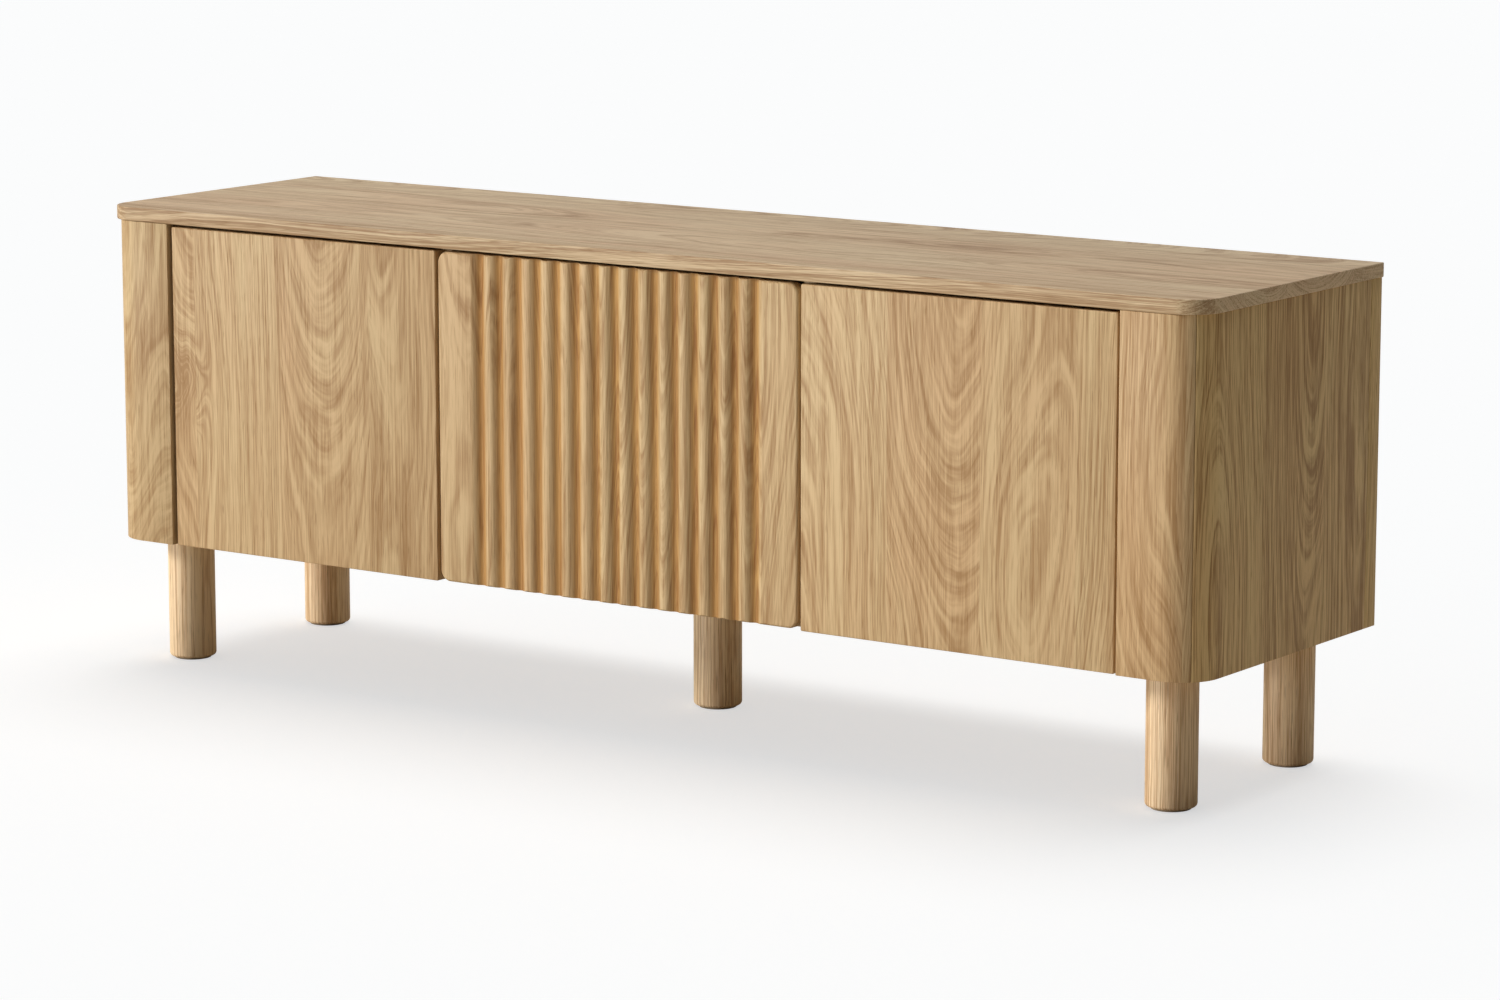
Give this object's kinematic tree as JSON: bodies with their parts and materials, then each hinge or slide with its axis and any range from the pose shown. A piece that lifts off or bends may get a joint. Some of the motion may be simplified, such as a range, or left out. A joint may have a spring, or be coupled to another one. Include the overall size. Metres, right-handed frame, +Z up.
{
  "type": "media cabinet",
  "caption": "Low oak media cabinet with rounded front corners, plain side doors, a fluted centre door and round legs.",
  "frame": {"origin": "on the floor, under the middle of the footprint", "axes": "+X to the right along the cabinet as seen from the front, +Y to the back, +Z up; the doors face -Y"},
  "size_m": [1.5, 0.39, 0.55],
  "materials": {
    "oak_front": "satin lacquered oak veneer, upright grain",
    "oak_side": "satin lacquered oak veneer, upright grain",
    "oak_top": "satin lacquered oak veneer, grain along the length",
    "oak_leg": "satin lacquered solid oak, turned",
    "board": "oak patterned foil on board",
    "fibreboard": "matt fibreboard",
    "steel": "nickel plated",
    "plastic": "moulded",
    "felt": "pressed felt"
  },
  "bodies": {
    "carcass": {"top_panel": "oak_top", "corner_post_left": "oak_front", "corner_post_right": "oak_front", "side_panel_left": "oak_side", "side_panel_right": "oak_side", "rear_strip_left": "oak_side", "rear_strip_right": "oak_side", "leg_front_left": "oak_leg", "leg_front_right": "oak_leg", "leg_rear_left": "oak_leg", "leg_rear_right": "oak_leg", "leg_centre": "oak_leg", "glide_front_left": "felt", "glide_front_right": "felt", "glide_rear_left": "felt", "glide_rear_right": "felt", "glide_centre": "felt", "bottom_panel": "board", "inner_side_left": "board", "inner_side_right": "board", "divider_left": "board", "divider_right": "board", "shelf_left": "board", "shelf_centre": "board", "shelf_right": "board", "back_panel": "fibreboard", "hinge_arm_left_lower": "steel", "hinge_arm_left_upper": "steel", "hinge_arm_centre_lower": "steel", "hinge_arm_centre_upper": "steel", "hinge_arm_right_lower": "steel", "hinge_arm_right_upper": "steel", "leg_stud_front_left": "steel", "leg_stud_front_right": "steel", "leg_stud_rear_left": "steel", "leg_stud_rear_right": "steel", "leg_stud_centre": "steel", "latch_housing_left": "plastic", "latch_housing_centre": "plastic", "latch_housing_right": "plastic"},
    "door_left": {"door_left": "oak_front", "hinge_cup_left_lower": "steel", "hinge_cup_left_upper": "steel", "latch_strike_left": "steel"},
    "push_latch_left": {"latch_plunger_left": "plastic"},
    "door_centre": {"door_centre": "oak_front", "hinge_cup_centre_lower": "steel", "hinge_cup_centre_upper": "steel", "latch_strike_centre": "steel"},
    "push_latch_centre": {"latch_plunger_centre": "plastic"},
    "door_right": {"door_right": "oak_front", "hinge_cup_right_lower": "steel", "hinge_cup_right_upper": "steel", "latch_strike_right": "steel"},
    "push_latch_right": {"latch_plunger_right": "plastic"}
  },
  "joints": [
    {"name": "door_left_hinge", "type": "hinge", "parent": "carcass", "child": "door_left", "pos_m": [-0.63901, -0.1833, 0.34], "axis": [0, 0, -1], "range_deg": [0, 95]},
    {"name": "door_centre_hinge", "type": "hinge", "parent": "carcass", "child": "door_centre", "pos_m": [-0.23941, -0.1833, 0.34], "axis": [0, 0, -1], "range_deg": [0, 95]},
    {"name": "door_right_hinge", "type": "hinge", "parent": "carcass", "child": "door_right", "pos_m": [0.63901, -0.1833, 0.34], "axis": [0, 0, 1], "range_deg": [0, 95]},
    {"name": "push_latch_left_slide", "type": "slide", "parent": "carcass", "child": "push_latch_left", "axis": [0, -1, 0], "range_m": [0, 0.008]},
    {"name": "push_latch_centre_slide", "type": "slide", "parent": "carcass", "child": "push_latch_centre", "axis": [0, -1, 0], "range_m": [0, 0.008]},
    {"name": "push_latch_right_slide", "type": "slide", "parent": "carcass", "child": "push_latch_right", "axis": [0, -1, 0], "range_m": [0, 0.008]}
  ],
  "couplings": [
    {"joint": "push_latch_left_slide", "follows": "door_left_hinge", "m_per_rad": 0.0048},
    {"joint": "push_latch_centre_slide", "follows": "door_centre_hinge", "m_per_rad": 0.0048},
    {"joint": "push_latch_right_slide", "follows": "door_right_hinge", "m_per_rad": 0.0048}
  ]
}
